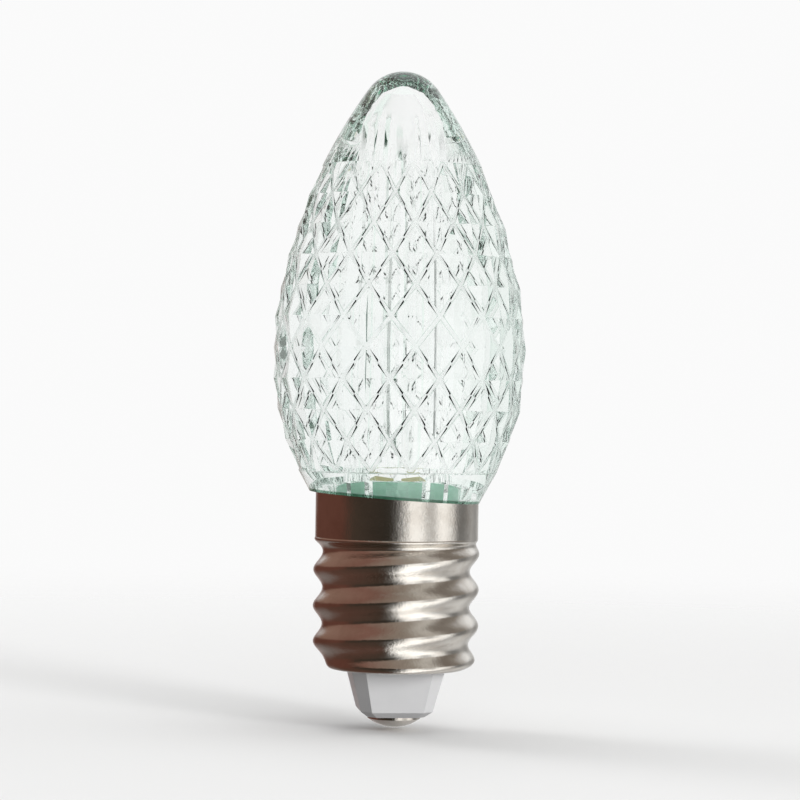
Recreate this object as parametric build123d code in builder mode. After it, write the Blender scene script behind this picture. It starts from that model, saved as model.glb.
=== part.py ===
from build123d import *
from math import asin, cos, degrees, hypot, pi, radians, sin, sqrt, tan
import os

os.makedirs("parts", exist_ok=True)

# A small screw-in lamp, standing on its centre contact. The origin is the lowest point of the
# contact, on the axis. +Z runs up the axis to the tip of the lens, and -Y is the side seen in
# the photograph. All lengths are in millimetres and all angles in degrees.

# Lens outline, as tangent arcs from the tip down to the cone above the screw cap
LENS_R = 8.9
WIDEST_Z = 27.62
TIP_ARC_R = 3.0
FLANK_ARC_R = 36.9
SHOULDER_ARC_R = 8.0
SHOULDER_SWEEP = 7.9
WAIST_H = 2.05
BELLY_ARC_R = 15.84
CONE_ANGLE = 28.7

# Seam between the lens and the cap, which isn't quite square to the axis
SEAM_Z = 16.18
SEAM_TILT = 3.6

# Facets: rows of raised four-sided diamonds with flat ribbons between them, less deep in the
# last rows
FACETS_AROUND = 16
FACET_ROWS = 9
FACET_ROW_H = 2.136
FIRST_ROW_Z = 20.2
FACET_DEPTH = 0.22
END_DEPTH_SHARE = 0.4
FADE_ROWS = 1.6
RIBBON_SHARE = 0.14
FACET_TURN = -3.95
LEDGE_LEAST = 0.03

# Bore of the lens, with flutes that fade out below its rounded end
FLUTES = 16
FLUTE_SHARE = 0.84
DOME_FLUTE_SHARE = 0.9
BORE_FOOT_R = 2.45
BORE_MIDDLE_R = 2.25
BORE_MIDDLE_Z = 38.0
BORE_DOME_R = 1.92
BORE_DOME_Z = 41.6
BORE_CROWN_R = 1.5
BORE_CROWN_Z = 43.0
BORE_ARCH_R = 0.95
BORE_ARCH_Z = 43.95
BORE_END_R = 0.25
BORE_END_Z = 44.4

# Neck of the lens: the fluted seat of the board, with the pocket above it for the LEDs
LED_POCKET_R = 2.6
LED_POCKET_H = 0.95
SEAT_FLUTE_DEPTH = 0.45
NECK_CLEARANCE = 0.06
NECK_DEPTH = 2.75
NECK_CHAMFER = 0.25

# Screw cap: a thin sheet rolled with a right-hand thread
COLLAR_R = 5.74
THREAD_CREST_R = 5.84
THREAD_ROOT_R = 5.19
THREAD_PITCH = 2.54
THREAD_CREST_Z = 7.225
THREAD_TOP_Z = 12.6
THREAD_RUNOUT_H = 0.75
SHEET_T = 0.28
LIP_R = 5.3
LIP_Z = 4.16
LIP_ROUND = 0.8
LIP_HOLE_CLEARANCE = 0.12
SECTIONS_PER_TURN = 8
LIP_SECTION_TURNS = (0, 25, 50, 72)

# Insulator plug: a tapered square with cut corners below the cap, and a round flange inside it
PLUG_MOUTH_HALF = 3.27
PLUG_FOOT_HALF = 2.52
PLUG_FOOT_Z = 1.25
PLUG_END_HALF = 1.98
PLUG_CORNER_SHARE = 0.28
PLUG_TURN = 6.5
PLUG_EDGE_R = 0.12
PLUG_FLANGE_T = 1.3
PLUG_POST_R = 1.7
PLUG_POST_H = 1.2
SLIDING_CLEARANCE = 0.05

# Centre contact: a domed button with a shank through the plug
CONTACT_R = 1.86
CONTACT_H = 0.85
CONTACT_EDGE_H = 0.2
SHANK_R = 0.5
SHANK_STANDOUT = 0.4

# Circuit board and the parts on it
BOARD_R = 3.3
BOARD_T = 1.6
BOARD_CLEARANCE = 0.1
BOARD_TOP_Z = 18.0
LED_COUNT = 3
FIRST_LED_TURN = 90
LED_L = 2.0
LED_W = 1.25
LED_BASE_T = 0.3
LED_FILL_L = 1.3
LED_FILL_T = 0.45
LED_PLACE_R = 1.3
RECTIFIER_L = 3.0
RECTIFIER_W = 2.6
RECTIFIER_T = 1.2
RECTIFIER_STANDOFF = 0.12
LEG_L = 0.55
LEG_W = 0.45
LEG_T = 0.15
LEG_SPACING = 1.5
LEG_TAIL = 0.3
CHIP_L = 1.6
CHIP_W = 0.8
CHIP_T = 0.45
CHIP_PLACE_R = 2.42
CHIP_ANGLE = 39

# Leads, each a copper wire in a plastic sleeve, and their solder
WIRE_R = 0.2
SLEEVE_R = 0.42
WIRE_CLEARANCE = 0.05
WIRE_PLACE_R = 2.6
BARE_TOP_L = 0.8
BARE_END_L = 1.1
SIDE_WIRE_END_R = 4.6
SIDE_WIRE_END_Z = 9.7
CAP_SOLDER_R = 0.8
CAP_SOLDER_LIFT = 0.37
PAD_SOLDER_R = 0.45
PAD_SOLDER_H = 0.5
POST_SOLDER_R = 0.95
POST_SOLDER_H = 1.0

# How far a solid runs past a cut, so that the cut is clean
CUT_OVERLAP = 1.0
UPWARD = (Align.CENTER, Align.CENTER, Align.MIN)
HANGING = (Align.CENTER, Align.CENTER, Align.MAX)


def flank_tilt():
    """Angle from the horizontal at which the tip arc hands over to the flank arc."""
    swept = radians(SHOULDER_SWEEP)
    reach = FLANK_ARC_R * cos(swept) + SHOULDER_ARC_R * (1 - cos(swept)) - LENS_R
    return asin(reach / (FLANK_ARC_R - TIP_ARC_R))


TIP_SWEEP = degrees(flank_tilt())
FLANK_SWEEP = 90 - SHOULDER_SWEEP - TIP_SWEEP
SHOULDER_TOP_Z = WIDEST_Z + SHOULDER_ARC_R * sin(radians(SHOULDER_SWEEP))
FLANK_CENTRE_R = (LENS_R - SHOULDER_ARC_R
                  - (FLANK_ARC_R - SHOULDER_ARC_R) * cos(radians(SHOULDER_SWEEP)))
FLANK_CENTRE_Z = SHOULDER_TOP_Z - FLANK_ARC_R * sin(radians(SHOULDER_SWEEP))
LENS_TOP_Z = (FLANK_CENTRE_Z + (FLANK_ARC_R - TIP_ARC_R) * cos(radians(TIP_SWEEP))
              + TIP_ARC_R)
WAIST_Z = WIDEST_Z - WAIST_H
CONE_FOOT_Z = SEAM_Z - CUT_OVERLAP


def lens_radius(z):
    """Outline radius of the lens at height z, anywhere between the cone and the tip arc."""
    if z > SHOULDER_TOP_Z:
        return FLANK_CENTRE_R + sqrt(FLANK_ARC_R ** 2 - (z - FLANK_CENTRE_Z) ** 2)
    if z > WIDEST_Z:
        return LENS_R - SHOULDER_ARC_R + sqrt(SHOULDER_ARC_R ** 2 - (z - WIDEST_Z) ** 2)
    if z > WAIST_Z:
        return LENS_R
    return LENS_R - BELLY_ARC_R + sqrt(BELLY_ARC_R ** 2 - (z - WAIST_Z) ** 2)


# The faceted skin. A point of the lattice is given by its column and row, half a diamond
# apart each way, so that the diamonds sit where the column and row are both even or both odd.

STEP_ANGLE = 180 / FACETS_AROUND
COLUMNS = 2 * FACETS_AROUND
TOP_ROW = FACET_ROWS + 1
INSET = 1 - RIBBON_SHARE


def row_height(row):
    """Height of a lattice row, which may lie between two whole rows."""
    return FIRST_ROW_Z + (row - 1) * FACET_ROW_H


def lattice_point(column, row, drop):
    """The point at a column and row, that far inside the lens's smooth outline."""
    angle = radians(FACET_TURN - 90 + column * STEP_ANGLE)
    z = row_height(row)
    r = lens_radius(z) - drop
    return Vector(r * cos(angle), r * sin(angle), z)


def facet_skin():
    """Flat faces of the faceted band, with its two end caps."""
    faces = []

    def corner(column, row):
        rows_in = min(row, TOP_ROW - row)
        share = min(1, END_DEPTH_SHARE + (1 - END_DEPTH_SHARE) * rows_in / FADE_ROWS)
        return lattice_point(column, row, FACET_DEPTH * share)

    def triangle(a, b, c):
        faces.append(Face(Wire.make_polygon([a, b, c])))

    def ribbon(a, b, c, d):
        triangle(a, b, c)
        triangle(a, c, d)

    rims = {0: [], TOP_ROW: []}
    for row in range(TOP_ROW + 1):
        at_end = row in (0, TOP_ROW)
        for column in range(COLUMNS):
            left = corner(column - INSET, row)
            right = corner(column + INSET, row)
            if (column + row) % 2:
                if at_end:
                    continue
                ribbon(corner(column - RIBBON_SHARE, row), corner(column, row - RIBBON_SHARE),
                       corner(column + RIBBON_SHARE, row), corner(column, row + RIBBON_SHARE))
                continue
            peak = lattice_point(column, row, LEDGE_LEAST if at_end else 0)
            if at_end:
                rims[row] += [left, peak, right]
            if row < TOP_ROW:
                top = corner(column, row + INSET)
                triangle(left, peak, top)
                triangle(peak, right, top)
                ribbon(right, corner(column + 1, row + RIBBON_SHARE),
                       corner(column + RIBBON_SHARE, row + 1), top)
                ribbon(left, top, corner(column - RIBBON_SHARE, row + 1),
                       corner(column - 1, row + RIBBON_SHARE))
            if row > 0:
                foot = corner(column, row - INSET)
                triangle(left, foot, peak)
                triangle(foot, right, peak)
    # Half crossings, where the ribbons run out at the two end rows
    for column in range(COLUMNS):
        if column % 2:
            triangle(corner(column - RIBBON_SHARE, 0), corner(column + RIBBON_SHARE, 0),
                     corner(column, RIBBON_SHARE))
        if (column + TOP_ROW) % 2:
            triangle(corner(column - RIBBON_SHARE, TOP_ROW),
                     corner(column, TOP_ROW - RIBBON_SHARE),
                     corner(column + RIBBON_SHARE, TOP_ROW))
    for rim in rims.values():
        faces.append(Face(Wire.make_polygon(rim)))
    return faces


with BuildPart() as facet_band:
    add(Solid(Shell(facet_skin())))
    with Locations((0, 0, row_height(TOP_ROW))):
        Cylinder(LENS_R, LENS_TOP_Z - row_height(TOP_ROW) + CUT_OVERLAP, align=UPWARD)
    with Locations((0, 0, row_height(0))):
        Cylinder(LENS_R, row_height(0) - CONE_FOOT_Z + CUT_OVERLAP, align=HANGING)

SEAM_PLANE = Plane((0, 0, SEAM_Z), x_dir=(cos(radians(SEAM_TILT)), 0, -sin(radians(SEAM_TILT))),
                   z_dir=(sin(radians(SEAM_TILT)), 0, cos(radians(SEAM_TILT))))
NECK_R = COLLAR_R - SHEET_T - NECK_CLEARANCE
NECK_BOTTOM_Z = SEAM_Z - NECK_DEPTH
LED_POCKET_TOP_Z = BOARD_TOP_Z + LED_POCKET_H
SEAT_R = BOARD_R + BOARD_CLEARANCE
SEAT_FLUTE_R = SEAT_R + SEAT_FLUTE_DEPTH


def flute_star(radius, share):
    """Corners of a fluted cross-section, at its radius and at that share of it by turns."""
    corners = []
    for corner in range(2 * FLUTES):
        reach = radius * (share if corner % 2 else 1)
        angle = radians(corner * 180 / FLUTES)
        corners.append((reach * cos(angle), reach * sin(angle)))
    return corners


with BuildPart() as bore:
    for height, radius, share in ((LED_POCKET_TOP_Z, BORE_FOOT_R, FLUTE_SHARE),
                                  (BORE_MIDDLE_Z, BORE_MIDDLE_R, FLUTE_SHARE),
                                  (BORE_DOME_Z, BORE_DOME_R, DOME_FLUTE_SHARE),
                                  (BORE_CROWN_Z, BORE_CROWN_R, 1),
                                  (BORE_ARCH_Z, BORE_ARCH_R, 1),
                                  (BORE_END_Z, BORE_END_R, 1)):
        with BuildSketch(Plane.XY.offset(height)):
            Polygon(*flute_star(radius, share), align=None)
    loft(ruled=True)

with BuildPart() as lens:
    with BuildSketch(Plane.XZ):
        with BuildLine():
            tip = JernArc((0, LENS_TOP_Z), (1, 0), TIP_ARC_R, -TIP_SWEEP)
            flank = JernArc(tip @ 1, tip % 1, FLANK_ARC_R, -FLANK_SWEEP)
            shoulder = JernArc(flank @ 1, flank % 1, SHOULDER_ARC_R, -SHOULDER_SWEEP)
            waist = Line(shoulder @ 1, (LENS_R, WAIST_Z))
            belly = JernArc(waist @ 1, (0, -1), BELLY_ARC_R, -CONE_ANGLE)
            cone_foot_r = (belly @ 1).X - ((belly @ 1).Y - CONE_FOOT_Z) * tan(radians(CONE_ANGLE))
            cone = Line(belly @ 1, (cone_foot_r, CONE_FOOT_Z))
            Polyline(cone @ 1, (0, CONE_FOOT_Z), (0, LENS_TOP_Z))
        make_face()
    revolve(axis=Axis.Z)
    add(facet_band.part, mode=Mode.INTERSECT)
    split(bisect_by=SEAM_PLANE, keep=Keep.TOP)
    with Locations((0, 0, NECK_BOTTOM_Z)):
        Cylinder(NECK_R, NECK_DEPTH + CUT_OVERLAP, align=UPWARD)
    chamfer(faces().sort_by(Axis.Z)[0].edges(), NECK_CHAMFER)
    with BuildSketch(Plane.XY.offset(NECK_BOTTOM_Z)):
        Polygon(*flute_star(SEAT_FLUTE_R, SEAT_R / SEAT_FLUTE_R), align=None)
    extrude(amount=BOARD_TOP_Z - NECK_BOTTOM_Z, mode=Mode.SUBTRACT)
    with Locations((0, 0, BOARD_TOP_Z)):
        Cylinder(LED_POCKET_R, LED_POCKET_H, align=UPWARD, mode=Mode.SUBTRACT)
    add(bore.part, mode=Mode.SUBTRACT)
lens.part.label = "lens"
export_step(lens.part, "parts/lens.step")

# Screw cap. A round thread of one start is a circle whose centre goes round the axis as it
# climbs, so the sheet is lofted through such circles, outside and inside.

THREAD_MEAN_R = (THREAD_CREST_R + THREAD_ROOT_R) / 2
THREAD_WAVE = (THREAD_CREST_R - THREAD_ROOT_R) / 2
COLLAR_Z = THREAD_TOP_Z + THREAD_RUNOUT_H


def eased(share):
    """Rises smoothly from 0 to 1 while the share goes from 0 to 1."""
    return share * share * (3 - 2 * share)


def sheet_section(z, inset):
    """Centre and radius of the sheet's cross-section at height z, that far inside its skin."""
    runout = eased(min(1, max(0, (z - THREAD_TOP_Z) / THREAD_RUNOUT_H)))
    foot = eased(min(1, max(0, (LIP_Z + THREAD_PITCH - z) / THREAD_PITCH)))
    r = THREAD_MEAN_R + (COLLAR_R - THREAD_MEAN_R) * runout + (LIP_R - THREAD_MEAN_R) * foot
    bend = LIP_ROUND - inset
    sunk = LIP_Z + LIP_ROUND - z
    if sunk > 0:
        r -= bend - sqrt(max(0, bend ** 2 - sunk ** 2))
    wave = THREAD_WAVE * (1 - runout)
    angle = 2 * pi * (z - THREAD_CREST_Z) / THREAD_PITCH
    return (wave * cos(angle), wave * sin(angle)), r - inset


def sheet_skin(inset):
    """Solid body of the sheet's outline from the lip to the collar, that far inside it."""
    bend = LIP_ROUND - inset
    heights = [LIP_Z + LIP_ROUND - bend * cos(radians(turn)) for turn in LIP_SECTION_TURNS]
    count = round((COLLAR_Z - LIP_Z - LIP_ROUND) / THREAD_PITCH * SECTIONS_PER_TURN)
    step = (COLLAR_Z - LIP_Z - LIP_ROUND) / count
    heights += [LIP_Z + LIP_ROUND + step * index for index in range(count + 1)]
    with BuildPart() as skin:
        for height in heights:
            centre, r = sheet_section(height, inset)
            with BuildSketch(Plane.XY.offset(height)):
                with Locations(centre):
                    Circle(r)
        loft()
        with Locations((0, 0, COLLAR_Z)):
            Cylinder(COLLAR_R - inset, SEAM_Z - COLLAR_Z + CUT_OVERLAP, align=UPWARD)
    return skin.part


PLUG_CORNER = PLUG_MOUTH_HALF * hypot(1, 1 - PLUG_CORNER_SHARE)
LIP_HOLE_R = PLUG_CORNER + LIP_HOLE_CLEARANCE

with BuildPart() as screw_shell:
    add(sheet_skin(0))
    add(sheet_skin(SHEET_T), mode=Mode.SUBTRACT)
    with Locations((0, 0, LIP_Z)):
        Cylinder(LIP_HOLE_R, LIP_ROUND, align=UPWARD, mode=Mode.SUBTRACT)
    split(bisect_by=SEAM_PLANE, keep=Keep.BOTTOM)
screw_shell.part.label = "screw_shell"
export_step(screw_shell.part, "parts/screw_shell.step")

LIP_INSIDE_Z = LIP_Z + SHEET_T
FLANGE_R = LIP_R - SHEET_T - THREAD_WAVE - SLIDING_CLEARANCE
FLANGE_TOP_Z = LIP_INSIDE_Z + PLUG_FLANGE_T
FLANGE_CHAMFER = FLANGE_R - (LIP_R - LIP_ROUND - THREAD_WAVE - SLIDING_CLEARANCE)
POST_TOP_Z = FLANGE_TOP_Z + PLUG_POST_H
SHANK_TOP_Z = POST_TOP_Z + SHANK_STANDOUT

with BuildPart() as insulator_plug:
    for height, half in ((CONTACT_H, PLUG_END_HALF), (PLUG_FOOT_Z, PLUG_FOOT_HALF),
                         (LIP_Z, PLUG_MOUTH_HALF)):
        with BuildSketch(Plane.XY.offset(height).rotated((0, 0, PLUG_TURN))):
            Rectangle(2 * half, 2 * half)
            chamfer(vertices(), half * PLUG_CORNER_SHARE)
    loft(ruled=True)
    fillet(edges().filter_by(GeomType.LINE).group_by(Axis.Z)[1:-1], PLUG_EDGE_R)
    with Locations((0, 0, LIP_Z)):
        Cylinder(PLUG_CORNER, SHEET_T, align=UPWARD)
    with BuildSketch(Plane.XZ):
        Polygon((0, LIP_INSIDE_Z), (FLANGE_R - FLANGE_CHAMFER, LIP_INSIDE_Z),
                (FLANGE_R, LIP_INSIDE_Z + FLANGE_CHAMFER), (FLANGE_R, FLANGE_TOP_Z),
                (0, FLANGE_TOP_Z), align=None)
    revolve(axis=Axis.Z)
    with Locations((0, 0, FLANGE_TOP_Z)):
        Cylinder(PLUG_POST_R, PLUG_POST_H, align=UPWARD)
    Cylinder(SHANK_R + SLIDING_CLEARANCE, POST_TOP_Z, align=UPWARD, mode=Mode.SUBTRACT)
insulator_plug.part.label = "insulator_plug"
export_step(insulator_plug.part, "parts/insulator_plug.step")

with BuildPart() as centre_contact:
    with BuildSketch(Plane.XZ):
        with BuildLine():
            dome_h = CONTACT_H - CONTACT_EDGE_H
            ball_r = (CONTACT_R ** 2 + dome_h ** 2) / (2 * dome_h)
            RadiusArc((0, 0), (CONTACT_R, dome_h), -ball_r)
            Polyline((CONTACT_R, dome_h), (CONTACT_R, CONTACT_H), (SHANK_R, CONTACT_H),
                     (SHANK_R, SHANK_TOP_Z), (0, SHANK_TOP_Z), (0, 0))
        make_face()
    revolve(axis=Axis.Z)
centre_contact.part.label = "centre_contact"
export_step(centre_contact.part, "parts/centre_contact.step")

# Circuit board, seated against the ceiling of the lens's chamber

BOARD_BOTTOM_Z = BOARD_TOP_Z - BOARD_T

with BuildPart() as circuit_board:
    with Locations((0, 0, BOARD_BOTTOM_Z)):
        Cylinder(BOARD_R, BOARD_T, align=UPWARD)
    with Locations(Plane.XY.offset(BOARD_TOP_Z)):
        with PolarLocations(WIRE_PLACE_R, 2):
            Hole(WIRE_R + WIRE_CLEARANCE)
circuit_board.part.label = "circuit_board"
export_step(circuit_board.part, "parts/circuit_board.step")

for index in range(LED_COUNT):
    turn = FIRST_LED_TURN + index * 360 / LED_COUNT
    seat = Plane.XY.offset(BOARD_TOP_Z).rotated((0, 0, turn))
    with BuildPart(seat) as led_base:
        with Locations((LED_PLACE_R, 0)):
            Box(LED_W, LED_L, LED_BASE_T, align=UPWARD)
    led_base.part.label = f"led_base_{index + 1}"
    export_step(led_base.part, f"parts/led_base_{index + 1}.step")
    with BuildPart(seat) as led_fill:
        with Locations((LED_PLACE_R, 0, LED_BASE_T)):
            Box(LED_W, LED_FILL_L, LED_FILL_T, align=UPWARD)
    led_fill.part.label = f"led_fill_{index + 1}"
    export_step(led_fill.part, f"parts/led_fill_{index + 1}.step")

with BuildPart() as rectifier:
    with Locations((0, 0, BOARD_BOTTOM_Z - RECTIFIER_STANDOFF)):
        Box(RECTIFIER_W, RECTIFIER_L, RECTIFIER_T, align=HANGING)
    chamfer(edges().filter_by(Axis.Z), RECTIFIER_STANDOFF)
rectifier.part.label = "rectifier"
export_step(rectifier.part, "parts/rectifier.step")

for index, (side, end) in enumerate(((-1, -1), (1, -1), (-1, 1), (1, 1))):
    root = (side * LEG_SPACING / 2, end * RECTIFIER_L / 2, BOARD_BOTTOM_Z)
    with BuildPart() as leg:
        with BuildSketch(Plane(root, x_dir=(0, end, 0), z_dir=(-end, 0, 0))):
            drop = RECTIFIER_STANDOFF + RECTIFIER_T / 2
            Polygon((0, drop), (LEG_TAIL, drop), (LEG_TAIL, LEG_T), (LEG_L, LEG_T), (LEG_L, 0),
                    (LEG_TAIL - LEG_T, 0), (LEG_TAIL - LEG_T, drop - LEG_T), (0, drop - LEG_T),
                    align=None)
        extrude(amount=LEG_W / 2, both=True)
    leg.part.label = f"rectifier_leg_{index + 1}"
    export_step(leg.part, f"parts/rectifier_leg_{index + 1}.step")

for name, turn in (("resistor_1", CHIP_ANGLE), ("resistor_2", -CHIP_ANGLE),
                   ("resistor_3", 180 - CHIP_ANGLE), ("capacitor", 180 + CHIP_ANGLE)):
    with BuildPart(Plane.XY.offset(BOARD_BOTTOM_Z).rotated((0, 0, turn))) as chip:
        with Locations((CHIP_PLACE_R, 0)):
            Box(CHIP_W, CHIP_L, CHIP_T, align=HANGING)
    chip.part.label = name
    export_step(chip.part, f"parts/{name}.step")

# Leads. Each wire runs straight down from the board's hole to the foot of the lens's neck,
# bends across to its terminal, and is bare at both ends of its sleeve.


def write_lead(name, side, end):
    """Writes one lead's wire and sleeve, and gives back the wire."""
    knee = Vector(side * WIRE_PLACE_R, 0, NECK_BOTTOM_Z)
    finish = end + Vector(0, 0, BARE_END_L)
    sleeve_top_z = BOARD_BOTTOM_Z - BARE_TOP_L
    bend = Edge.make_spline([knee, finish], tangents=[(0, 0, -1), (0, 0, -1)])
    with BuildPart() as wire:
        with BuildSketch(Plane(knee)):
            Circle(WIRE_R)
        sweep(path=bend)
        with Locations(end):
            Cylinder(WIRE_R, BARE_END_L, align=UPWARD)
        with Locations(knee):
            Cylinder(WIRE_R, BOARD_TOP_Z - NECK_BOTTOM_Z, align=UPWARD)
    wire.part.label = f"{name}_wire"
    export_step(wire.part, f"parts/{name}_wire.step")
    with BuildPart() as sleeve:
        with BuildSketch(Plane(knee)):
            Circle(SLEEVE_R)
        sweep(path=bend)
        with Locations(knee):
            Cylinder(SLEEVE_R, sleeve_top_z - NECK_BOTTOM_Z, align=UPWARD)
        add(wire.part, mode=Mode.SUBTRACT)
    sleeve.part.label = f"{name}_sleeve"
    export_step(sleeve.part, f"parts/{name}_sleeve.step")
    return wire.part


side_wire = write_lead("side", -1, Vector(-SIDE_WIRE_END_R, 0, SIDE_WIRE_END_Z))
centre_wire = write_lead("centre", 1, Vector(0, 0, SHANK_TOP_Z))

with BuildPart() as cap_solder:
    with Locations((-SIDE_WIRE_END_R, 0, SIDE_WIRE_END_Z + CAP_SOLDER_LIFT)):
        Sphere(CAP_SOLDER_R)
    add(sheet_skin(SHEET_T), mode=Mode.INTERSECT)
    add(side_wire, mode=Mode.SUBTRACT)
cap_solder.part.label = "cap_solder"
export_step(cap_solder.part, "parts/cap_solder.step")

with BuildPart() as contact_solder:
    with Locations((0, 0, POST_TOP_Z)):
        Cone(POST_SOLDER_R, WIRE_R + SLIDING_CLEARANCE, POST_SOLDER_H, align=UPWARD)
    add(centre_contact.part, mode=Mode.SUBTRACT)
    add(centre_wire, mode=Mode.SUBTRACT)
contact_solder.part.label = "contact_solder"
export_step(contact_solder.part, "parts/contact_solder.step")

for name, side, wire in (("side", -1, side_wire), ("centre", 1, centre_wire)):
    with BuildPart() as pad_solder:
        with Locations((side * WIRE_PLACE_R, 0, BOARD_BOTTOM_Z - PAD_SOLDER_H)):
            Cone(WIRE_R + SLIDING_CLEARANCE, PAD_SOLDER_R, PAD_SOLDER_H, align=UPWARD)
        add(wire, mode=Mode.SUBTRACT)
    pad_solder.part.label = f"{name}_pad_solder"
    export_step(pad_solder.part, f"parts/{name}_pad_solder.step")
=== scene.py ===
from math import cos, hypot, pi, radians, sin

import bmesh
import bpy
from mathutils import Matrix, Vector


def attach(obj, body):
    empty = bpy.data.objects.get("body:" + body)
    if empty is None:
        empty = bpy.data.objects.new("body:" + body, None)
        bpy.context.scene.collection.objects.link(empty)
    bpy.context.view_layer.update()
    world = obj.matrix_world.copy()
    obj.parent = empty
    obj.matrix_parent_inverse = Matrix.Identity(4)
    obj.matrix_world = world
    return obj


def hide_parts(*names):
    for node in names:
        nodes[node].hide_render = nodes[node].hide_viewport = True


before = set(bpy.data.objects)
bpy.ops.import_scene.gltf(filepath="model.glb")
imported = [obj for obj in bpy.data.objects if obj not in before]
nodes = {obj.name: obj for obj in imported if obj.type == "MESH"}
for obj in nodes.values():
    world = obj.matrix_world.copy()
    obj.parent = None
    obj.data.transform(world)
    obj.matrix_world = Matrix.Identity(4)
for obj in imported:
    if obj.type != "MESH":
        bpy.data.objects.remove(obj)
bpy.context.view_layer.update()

MM = 0.001
WHITE = (1.0, 1.0, 1.0)

# Seam between the lens and the cap: its height on the axis, and its tilt
SEAM_Z = 16.18 * MM
SEAM_TILT = radians(3.6)

# Camera: level, at the photograph's side, with the object leaning a little as it does there
CAMERA_DISTANCE = 200 * MM
CAMERA_HEIGHT = 23.03 * MM
CAMERA_SIDE = 0.09 * MM
CAMERA_ROLL = radians(0.88)
SENSOR_W = 36
IMAGE_W = 800
PIXELS_PER_MM = 14.2
LIGHT_BOUNCES = 40

camera_data = bpy.data.cameras.new("camera")
camera_data.sensor_width = SENSOR_W
camera_data.lens = SENSOR_W * CAMERA_DISTANCE / (IMAGE_W / PIXELS_PER_MM * MM)
camera_data.clip_start = 10 * MM
camera = bpy.data.objects.new("camera", camera_data)
camera.matrix_world = (Matrix.Translation((CAMERA_SIDE, -CAMERA_DISTANCE, CAMERA_HEIGHT))
                       @ Matrix.Rotation(radians(90), 4, "X") @ Matrix.Rotation(CAMERA_ROLL, 4, "Z"))
bpy.context.scene.collection.objects.link(camera)
bpy.context.scene.camera = camera
bpy.context.scene.view_settings.view_transform = "Standard"
bpy.context.scene.cycles.max_bounces = LIGHT_BOUNCES
bpy.context.scene.cycles.transmission_bounces = LIGHT_BOUNCES
bpy.context.scene.cycles.glossy_bounces = LIGHT_BOUNCES
bpy.context.scene.cycles.volume_bounces = 4


class Nodes:
    """Builds one node tree. What a method is given may be a number, a colour or another node's output."""

    MIX_INPUTS = (0, 6, 7)
    MIX_RESULT = 2

    def __init__(self, tree):
        self.tree = tree
        tree.nodes.clear()

    def add(self, kind, **settings):
        node = self.tree.nodes.new("ShaderNode" + kind)
        for name, value in settings.items():
            setattr(node, name, value)
        return node

    def feed(self, socket, value):
        if isinstance(value, bpy.types.NodeSocket):
            self.tree.links.new(value, socket)
        elif isinstance(value, tuple) and len(value) < len(socket.default_value):
            socket.default_value = (*value, 1)
        else:
            socket.default_value = value

    def fed(self, kind, inputs, **settings):
        """Adds a node with its named inputs fed, and gives its first output."""
        node = self.add(kind, **settings)
        for name, value in inputs.items():
            self.feed(node.inputs[name], value)
        return node.outputs[0]

    def maths(self, operation, *values):
        return self.fed("Math", dict(enumerate(values)), operation=operation)

    def smooth_range(self, value, low, high):
        return self.fed("MapRange", {"Value": value, "From Min": low, "From Max": high},
                        interpolation_type="SMOOTHSTEP")

    def mix(self, share, a, b):
        node = self.add("Mix", data_type="RGBA")
        for index, value in zip(self.MIX_INPUTS, (share, a, b)):
            self.feed(node.inputs[index], value)
        return node.outputs[self.MIX_RESULT]

    def ramp(self, value, stops):
        node = self.add("ValToRGB")
        elements = node.color_ramp.elements
        while len(elements) < len(stops):
            elements.new(1.0)
        for element, (place, colour) in zip(elements, stops):
            element.position = place
            element.color = (*colour, 1)
        self.feed(node.inputs["Fac"], value)
        return node.outputs["Color"]

    def place(self):
        return self.add("TexCoord").outputs["Object"]

    def parts(self, vector):
        """The X, Y and Z of a vector."""
        node = self.add("SeparateXYZ")
        self.feed(node.inputs[0], vector)
        return node.outputs

    def noise(self, scale, detail=3.0, roughness=0.55, place=None):
        return self.fed("TexNoise", {"Vector": place or self.place(), "Scale": scale, "Detail": detail,
                                     "Roughness": roughness})

    def bump(self, height, strength, distance, shader):
        normal = self.fed("Bump", {"Height": height, "Strength": strength, "Distance": distance})
        self.feed(shader.inputs["Normal"], normal)


def material(name):
    made = bpy.data.materials.new(name)
    made.use_nodes = True
    return made, Nodes(made.node_tree)


# Studio: a pale world in which clear, mirroring and matt surfaces each meet the surroundings
# that show them best, all by the direction in which a ray leaves

world = bpy.data.worlds.new("studio")
bpy.context.scene.world = world
world.use_nodes = True
w = Nodes(world.node_tree)
east, north, up = w.parts(w.add("TexCoord").outputs["Generated"])
bearing = w.maths("ARCTAN2", east, w.maths("MULTIPLY", north, -1.0))
turn = w.maths("MULTIPLY_ADD", bearing, 0.5 / pi, 0.5)


def around(*stops):
    """A colour for each bearing, from stops in degrees to the right of the camera's side."""
    return w.ramp(turn, [(0.5 + degrees / 360, colour) for degrees, colour in stops])


def grey(level):
    return level, level * 0.985, level * 0.96


BACKDROP = (0.90, 0.90, 0.90)
BACKDROP_SEEN = (0.96, 0.96, 0.96)
BROWN = (0.13, 0.053, 0.038)
UMBER = (0.06, 0.042, 0.031)

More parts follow.
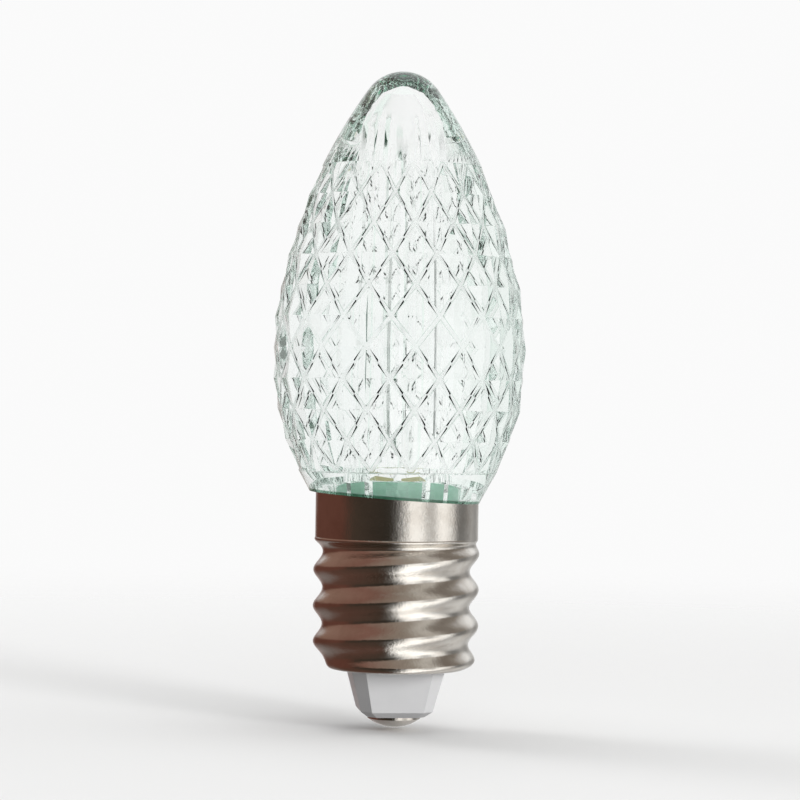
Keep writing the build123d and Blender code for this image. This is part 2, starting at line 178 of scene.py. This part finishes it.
mirrored = around(
    (-180, BACKDROP), (-170, (0.5, 0.42, 0.40)), (-156, BROWN), (-85, BROWN), (-65, UMBER),
    (-6, (0.03, 0.026, 0.02)), (6, grey(0.25)), (18, grey(1.25)), (36, grey(1.2)), (45, grey(0.6)),
    (54, grey(0.65)), (64, grey(1.35)), (84, grey(1.0)), (95, grey(0.2)), (110, grey(0.22)),
    (128, grey(0.45)), (150, grey(0.3)), (165, grey(0.6)), (180, BACKDROP))
mirrored_below = around(
    (-180, grey(0.35)), (-120, (0.12, 0.06, 0.045)), (-20, UMBER), (2, grey(0.2)), (20, grey(1.5)),
    (60, grey(1.6)), (95, grey(0.5)), (140, grey(0.75)), (180, grey(0.35)))
mirrored_above = around(
    (-180, WHITE), (-160, WHITE), (-144, (0.28, 0.17, 0.13)), (-60, (0.22, 0.11, 0.085)),
    (-10, (0.28, 0.22, 0.18)), (25, (0.36, 0.32, 0.28)), (55, (0.62, 0.59, 0.54)),
    (80, (0.22, 0.19, 0.165)), (110, (0.26, 0.23, 0.20)), (140, WHITE), (180, WHITE))
through = around(
    (-180, WHITE), (-150, (0.97, 0.98, 0.97)), (-130, (0.88, 0.95, 0.91)), (-104, (0.90, 0.98, 0.94)),
    (-97, (0.03, 0.08, 0.05)), (-82, (0.02, 0.06, 0.04)), (-74, (0.90, 0.98, 0.94)), (-45, WHITE),
    (-22, WHITE), (-12, (0.08, 0.10, 0.09)), (-3, WHITE), (84, WHITE), (91, (0.06, 0.08, 0.07)),
    (99, (0.97, 1.0, 0.98)), (130, WHITE), (180, WHITE))
spread = around(
    (-180, (0.50, 0.50, 0.50)), (-120, (0.30, 0.295, 0.29)), (-90, (0.09, 0.085, 0.08)),
    (-20, (0.08, 0.08, 0.08)), (5, (0.8, 0.8, 0.79)), (90, (0.9, 0.9, 0.89)), (140, (0.5, 0.5, 0.5)),
    (180, (0.5, 0.5, 0.5)))
mirrored = w.mix(w.smooth_range(up, 0.08, 0.32), mirrored, mirrored_above)
mirrored = w.mix(w.smooth_range(up, -0.15, -0.55), mirrored, mirrored_below)
through = w.mix(w.smooth_range(up, 0.35, 0.95), through, (0.96, 1.0, 0.98))

path = w.add("LightPath").outputs
shown = w.mix(path["Is Glossy Ray"], spread, mirrored)
shown = w.mix(path["Is Transmission Ray"], shown, through)
shown = w.mix(path["Is Camera Ray"], shown, BACKDROP_SEEN)
w.feed(w.add("OutputWorld").inputs["Surface"], w.fed("Background", {"Color": shown}))

LAMPS_AIM = Vector((0, 0, 22 * MM))
for name, place, size, power in (
        ("key", (0.30, -0.36, 0.13), (0.10, 0.24), 1.25),
        ("top", (-0.05, 0.05, 0.50), (0.40, 0.40), 0.72),
        ("rim", (-0.34, 0.24, 0.30), (0.15, 0.30), 0.55)):
    lamp_data = bpy.data.lights.new(name, "AREA")
    lamp_data.shape = "RECTANGLE"
    lamp_data.size, lamp_data.size_y = size
    lamp_data.energy = power
    lamp = bpy.data.objects.new(name, lamp_data)
    aim = (LAMPS_AIM - Vector(place)).to_track_quat("-Z", "Y")
    lamp.matrix_world = Matrix.Translation(place) @ aim.to_matrix().to_4x4()
    lamp.visible_camera = False
    lamp.visible_glossy = False
    lamp.visible_transmission = False
    bpy.context.scene.collection.objects.link(lamp)

# Floor: a pale disc that fades out into the world, and gives way to it in metal and glass

FLOOR_R = 0.24
FLOOR_FADED_R = 0.2
FLOOR_DROP = 0.2 * MM
FLOOR_COLOUR = (0.90, 0.90, 0.90)
FLOOR_BOUNCE = (0.32, 0.32, 0.32)

floor_mesh = bpy.data.meshes.new("floor")
floor_maker = bmesh.new()
bmesh.ops.create_circle(floor_maker, cap_ends=True, radius=FLOOR_R, segments=96)
floor_maker.to_mesh(floor_mesh)
floor_maker.free()
floor = bpy.data.objects.new("floor", floor_mesh)
floor.location.z = -FLOOR_DROP
bpy.context.scene.collection.objects.link(floor)
floor_paper, f = material("floor_paper")
reach = f.add("VectorMath", operation="LENGTH")
f.feed(reach.inputs[0], f.place())
path = f.add("LightPath").outputs
clear = f.maths("MAXIMUM", f.smooth_range(reach.outputs["Value"], 0.0, FLOOR_FADED_R),
                f.maths("MAXIMUM", path["Is Glossy Ray"], path["Is Transmission Ray"]))
paper = f.fed("BsdfDiffuse", {"Color": f.mix(path["Is Diffuse Ray"], FLOOR_COLOUR, FLOOR_BOUNCE)})
faded = f.fed("MixShader", {0: clear, 1: paper, 2: f.add("BsdfTransparent").outputs[0]})
f.feed(f.add("OutputMaterial").inputs["Surface"], faded)
floor_mesh.materials.append(floor_paper)

# Materials

RELIEF = 0.03 * MM
METAL = 1.0


def surface(name, colour, roughness, metallic=0.0):
    made, tree = material(name)
    shader = tree.add("BsdfPrincipled")
    for socket, value in (("Base Color", colour), ("Roughness", roughness), ("Metallic", metallic)):
        tree.feed(shader.inputs[socket], value)
    out = tree.add("OutputMaterial")
    tree.feed(out.inputs["Surface"], shader.outputs[0])
    return made, tree, shader, out


def dress(made, *names):
    for name in names:
        materials = nodes[name].data.materials
        materials.clear()
        materials.append(made)


# Clear plastic: frosted ribbons with painted shade on their thin sides, a painted dark shade line above the seam for
# the shadowed gap, fine lengthwise streaks in the bore, and a faint tint and haze in its depth

SEAM_SHADE_TOP = 0.26 * MM
SEAM_SHADE_FULL = 0.16 * MM
BORE_NEAR_R, BORE_FAR_R = 3.0 * MM, 3.5 * MM
RIBBON_ROUGHNESS = 0.30
# Painted shade on the ribbons' thin sides, from pale to dark grey-green
LINE_PALE, LINE_PAINTED_SHADE = (0.96, 0.98, 0.97), (0.52, 0.63, 0.57)
# Painted shade: the dark gap between lens and cap, as seen through the plastic
SEAM_GAP_SHADE = (0.05, 0.13, 0.085)
STREAK_SCALES = (2200, 2200, 60)

lens_plastic, t, shader, out = surface("lens_clear_plastic", WHITE, 0.02)
shader.inputs["IOR"].default_value = 1.49
shader.inputs["Transmission Weight"].default_value = 1.0
x, y, z = t.parts(t.place())
above_seam = t.maths("MULTIPLY_ADD", x, sin(SEAM_TILT), -SEAM_Z * cos(SEAM_TILT))
above_seam = t.maths("MULTIPLY_ADD", z, cos(SEAM_TILT), above_seam)
ribbon = t.add("Attribute", attribute_name="ribbon").outputs["Fac"]
groove = t.add("Attribute", attribute_name="groove").outputs["Fac"]
t.feed(shader.inputs["Roughness"], t.maths("MULTIPLY", ribbon, RIBBON_ROUGHNESS))
# The ribbons' sides get painted shade: a darker grey-green that stands in for the dark surroundings their small
# slopes refract
line = t.mix(t.smooth_range(t.noise(420, 2), 0.40, 0.62), LINE_PALE, LINE_PAINTED_SHADE)
# A thin band just above the seam is painted dark green, as painted shade for the shadowed gap between lens and cap
t.feed(shader.inputs["Base Color"], t.mix(t.smooth_range(above_seam, SEAM_SHADE_TOP, SEAM_SHADE_FULL),
                                          t.mix(groove, WHITE, line), SEAM_GAP_SHADE))
radius = t.maths("SQRT", t.maths("ADD", t.maths("MULTIPLY", x, x), t.maths("MULTIPLY", y, y)))
stretched = t.fed("Mapping", {"Vector": t.place(), "Scale": STREAK_SCALES})
streaks = t.maths("MULTIPLY", t.noise(1.0, 3, 0.5, stretched), t.smooth_range(radius, BORE_FAR_R, BORE_NEAR_R))
t.bump(streaks, 0.2, RELIEF, shader)
depth = t.add("AddShader")
t.feed(depth.inputs[0], t.fed("VolumeAbsorption", {"Color": (0.55, 0.97, 0.80), "Density": 6.0}))
t.feed(depth.inputs[1], t.fed("VolumeScatter", {"Color": (0.93, 1.0, 0.965), "Density": 5.0, "Anisotropy": 0.0}))
t.feed(out.inputs["Volume"], depth.outputs[0])

# Bright plating, a little grainy, dented and scuffed

nickel, t, shader, out = surface("nickel_plate", (0.66, 0.63, 0.59), 0.2, METAL)
grain = t.noise(6500, 3, 0.7)
scuffs = t.noise(420, 5, 0.65)
dents = t.noise(700, 2, 0.4)
t.feed(shader.inputs["Roughness"], t.maths("MULTIPLY_ADD", scuffs, 0.13, 0.03))
t.feed(shader.inputs["Base Color"], t.mix(t.smooth_range(scuffs, 0.35, 0.75), (0.76, 0.735, 0.695),
                                          (0.64, 0.60, 0.55)))
t.bump(t.maths("MULTIPLY_ADD", dents, 2.2, t.maths("MULTIPLY", grain, 0.8)), 0.55, RELIEF, shader)
dress(nickel, "screw_shell", "centre_contact")

# White moulded plastic

plug, t, shader, out = surface("white_plastic", (0.80, 0.80, 0.82), 0.3)
t.feed(shader.inputs["Base Color"], t.mix(t.noise(700, 4), (0.83, 0.83, 0.84), (0.77, 0.77, 0.78)))
t.bump(t.noise(1800, 2), 0.1, 0.02 * MM, shader)
dress(plug, "insulator_plug")

# Circuit board: solder mask above and below, bare laminate on its edge

MASK = (0.24, 0.82, 0.54)

board, t, shader, out = surface("green_laminate", MASK, 0.35)
_, _, flatness = t.parts(t.add("NewGeometry").outputs["True Normal"])
on_edge = t.smooth_range(t.maths("ABSOLUTE", flatness), 0.7, 0.3)
mask = t.mix(t.noise(900, 4), MASK, (0.17, 0.70, 0.43))
laminate = t.mix(t.noise(2500, 3), (0.58, 1.0, 0.80), (0.44, 0.93, 0.67))
t.feed(shader.inputs["Base Color"], t.mix(on_edge, mask, laminate))
t.bump(t.noise(3000, 3), 0.15, RELIEF, shader)
dress(board, "circuit_board")

# Small parts: each colour, its darker mottling, roughness, metallic share and noise scale


def mottled(name, light, dark, roughness, metallic, scale):
    made, tree, shader, out = surface(name, light, roughness, metallic)
    tree.feed(shader.inputs["Base Color"], tree.mix(tree.noise(scale, 4), light, dark))
    tree.bump(tree.noise(scale * 3, 3), 0.15, RELIEF, shader)
    return made


dress(mottled("white_package", (0.88, 0.88, 0.85), (0.82, 0.82, 0.79), 0.5, 0.0, 1500),
      "led_base_1", "led_base_2", "led_base_3")
dress(mottled("phosphor_resin", (0.88, 0.82, 0.48), (0.85, 0.78, 0.40), 0.35, 0.0, 2500),
      "led_fill_1", "led_fill_2", "led_fill_3")
dress(mottled("black_compound", (0.03, 0.03, 0.03), (0.05, 0.05, 0.05), 0.55, 0.0, 2200), "rectifier")
dress(mottled("tinned_copper", (0.72, 0.72, 0.72), (0.62, 0.61, 0.60), 0.35, METAL, 1200),
      "rectifier_leg_1", "rectifier_leg_2", "rectifier_leg_3", "rectifier_leg_4")
dress(mottled("tin_solder", (0.68, 0.68, 0.69), (0.55, 0.55, 0.56), 0.3, METAL, 900),
      "cap_solder", "contact_solder", "side_pad_solder", "centre_pad_solder")
dress(mottled("bare_copper", (0.85, 0.45, 0.30), (0.72, 0.36, 0.22), 0.35, METAL, 1500),
      "side_wire", "centre_wire")
dress(mottled("dark_sleeve", (0.04, 0.04, 0.04), (0.06, 0.06, 0.06), 0.5, 0.0, 1600), "side_sleeve")
dress(mottled("red_sleeve", (0.55, 0.04, 0.04), (0.48, 0.03, 0.03), 0.5, 0.0, 1600), "centre_sleeve")

# Chips: glazed bodies that stand across a line at a turn from the X axis, with tinned ends

CHIP_TURN = radians(39)
GLAZE_INNER, GLAZE_OUTER = 0.50 * MM, 0.54 * MM
TINNED = (0.70, 0.70, 0.70)
RESISTOR_GLAZE = ((0.05, 0.05, 0.06), (0.08, 0.08, 0.08))
CAPACITOR_GLAZE = ((0.50, 0.36, 0.25), (0.44, 0.31, 0.21))

for name, turn, (light, dark) in (("resistor_1", CHIP_TURN, RESISTOR_GLAZE),
                                  ("resistor_2", -CHIP_TURN, RESISTOR_GLAZE),
                                  ("resistor_3", pi - CHIP_TURN, RESISTOR_GLAZE),
                                  ("capacitor", pi + CHIP_TURN, CAPACITOR_GLAZE)):
    glaze, t, shader, out = surface(name + "_glaze", light, 0.4)
    along = t.add("VectorMath", operation="DOT_PRODUCT")
    t.feed(along.inputs[0], t.place())
    t.feed(along.inputs[1], (-sin(turn), cos(turn), 0))
    end = t.smooth_range(t.maths("ABSOLUTE", along.outputs["Value"]), GLAZE_INNER, GLAZE_OUTER)
    t.feed(shader.inputs["Base Color"], t.mix(end, t.mix(t.noise(2000, 4), light, dark), TINNED))
    t.feed(shader.inputs["Metallic"], end)
    t.bump(t.noise(3000, 3), 0.15, RELIEF, shader)
    dress(glaze, name)

# Lens: the solid's own facets, with the small radii that a mould leaves on their creases, and
# ribbons that lie a little deep between thin sides

FACETS_LOW, FACETS_HIGH = 17.9 * MM, 40.6 * MM
RIBBONS_HIGH = 39.4 * MM
SKIN_R = 4.4 * MM
CREASE_W = 0.045 * MM
LINE_W = 0.055 * MM
LINE_DEPTH = 0.012 * MM
LEDGE_NORMAL_Z = 0.9
PLANE_ANGLE = radians(0.6)
CREASE_ANGLE = radians(10)
SHARP_ANGLE = radians(25)
WELD = 0.0001 * MM

lens_mesh = nodes["lens"].data.copy()
maker = bmesh.new()
maker.from_mesh(lens_mesh)
bmesh.ops.remove_doubles(maker, verts=maker.verts, dist=WELD)


def on_facets(element):
    return all(hypot(v.co.x, v.co.y) > SKIN_R and FACETS_LOW < v.co.z < FACETS_HIGH for v in element.verts)


def is_slope(face):
    return on_facets(face) and abs(face.normal.z) < LEDGE_NORMAL_Z


inside_facets = [edge for edge in maker.edges if on_facets(edge) and all(is_slope(face) for face in edge.link_faces)]
bmesh.ops.dissolve_limit(maker, angle_limit=PLANE_ANGLE, edges=inside_facets,
                         verts=list(dict.fromkeys(v for edge in inside_facets for v in edge.verts)))
groove_layer = maker.faces.layers.float.new("groove")
ribbon_layer = maker.faces.layers.float.new("ribbon")
for face in maker.faces:
    if is_slope(face) and face.calc_center_median().z < RIBBONS_HIGH and not any(
            edge.is_convex and edge.calc_face_angle(0) > CREASE_ANGLE for edge in face.edges):
        face[ribbon_layer] = 1.0
creases = [edge for edge in maker.edges if len(edge.link_faces) == 2 and on_facets(edge)
           and edge.is_convex and edge.calc_face_angle() > CREASE_ANGLE]
bmesh.ops.bevel(maker, geom=creases, offset=CREASE_W, offset_type="OFFSET", segments=2, profile=0.5,
                affect="EDGES", clamp_overlap=True, material=-1)
ribbons = [face for face in maker.faces if face[ribbon_layer] == 1.0]
sides = bmesh.ops.inset_region(maker, faces=ribbons, thickness=LINE_W, depth=-LINE_DEPTH, use_boundary=True,
                               use_even_offset=True)["faces"]
for face in sides:
    face[groove_layer] = 1.0
    face[ribbon_layer] = 0.0
for face in maker.faces:
    face.smooth = True
for edge in maker.edges:
    edge.smooth = not on_facets(edge) and (len(edge.link_faces) != 2 or edge.calc_face_angle() < SHARP_ANGLE)
bmesh.ops.triangulate(maker, faces=[face for face in maker.faces if len(face.verts) > 4])
maker.to_mesh(lens_mesh)
maker.free()
lens_mesh.name = "lens_skin"
if lens_mesh.has_custom_normals:
    lens_mesh.attributes.remove(lens_mesh.attributes["custom_normal"])
lens_mesh.materials.clear()
lens_mesh.materials.append(lens_plastic)
lens_piece = bpy.data.objects.new("lens_skin", lens_mesh)
bpy.context.scene.collection.objects.link(lens_piece)
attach(lens_piece, "root")
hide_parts("lens")
